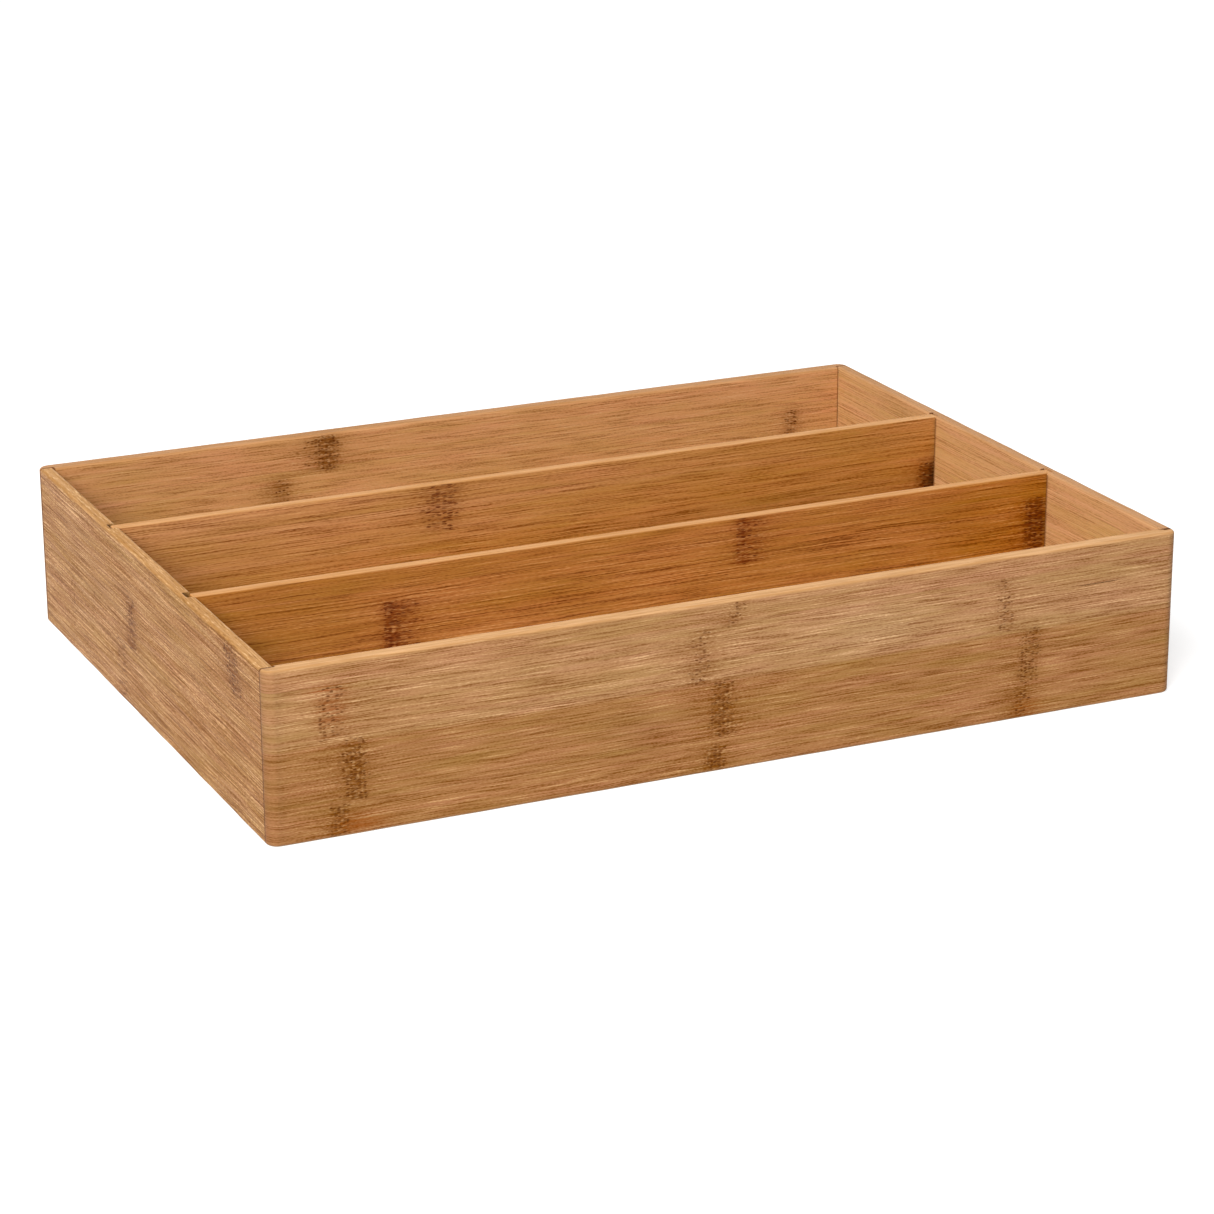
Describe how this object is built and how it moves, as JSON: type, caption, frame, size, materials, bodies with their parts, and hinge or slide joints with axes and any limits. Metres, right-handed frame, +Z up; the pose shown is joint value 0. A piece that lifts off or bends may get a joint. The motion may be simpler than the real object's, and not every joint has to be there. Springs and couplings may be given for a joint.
{
  "type": "makeup organizer",
  "caption": "Low rectangular bamboo tray split into long bays by loose dividers that slide up out of dadoes in the side boards.",
  "frame": {"origin": "middle of the footprint, on the surface that the tray stands on", "axes": "+X to the right along the length, +Y from the front board to the rear board, +Z up"},
  "size_m": [0.34, 0.25, 0.06],
  "materials": {
    "bamboo_long_board": "flat-pressed caramel bamboo, grain along the length, satin varnish",
    "bamboo_side_board": "flat-pressed caramel bamboo, grain from front to rear, satin varnish",
    "bamboo_divider": "flat-pressed caramel bamboo, a warmer tone, grain along the length, satin varnish",
    "bamboo_panel": "thin pressed bamboo sheet, grain along the length, matt"
  },
  "bodies": {
    "tray": {"front_board": "bamboo_long_board", "rear_board": "bamboo_long_board", "left_side_board": "bamboo_side_board", "right_side_board": "bamboo_side_board", "bottom_panel": "bamboo_panel"},
    "front_divider": {"front_divider": "bamboo_divider"},
    "rear_divider": {"rear_divider": "bamboo_divider"}
  },
  "joints": [
    {"name": "front_divider_lift", "type": "slide", "parent": "tray", "child": "front_divider", "axis": [0, 0, 1], "range_m": [0, 0.065]},
    {"name": "rear_divider_lift", "type": "slide", "parent": "tray", "child": "rear_divider", "axis": [0, 0, 1], "range_m": [0, 0.065]}
  ]
}
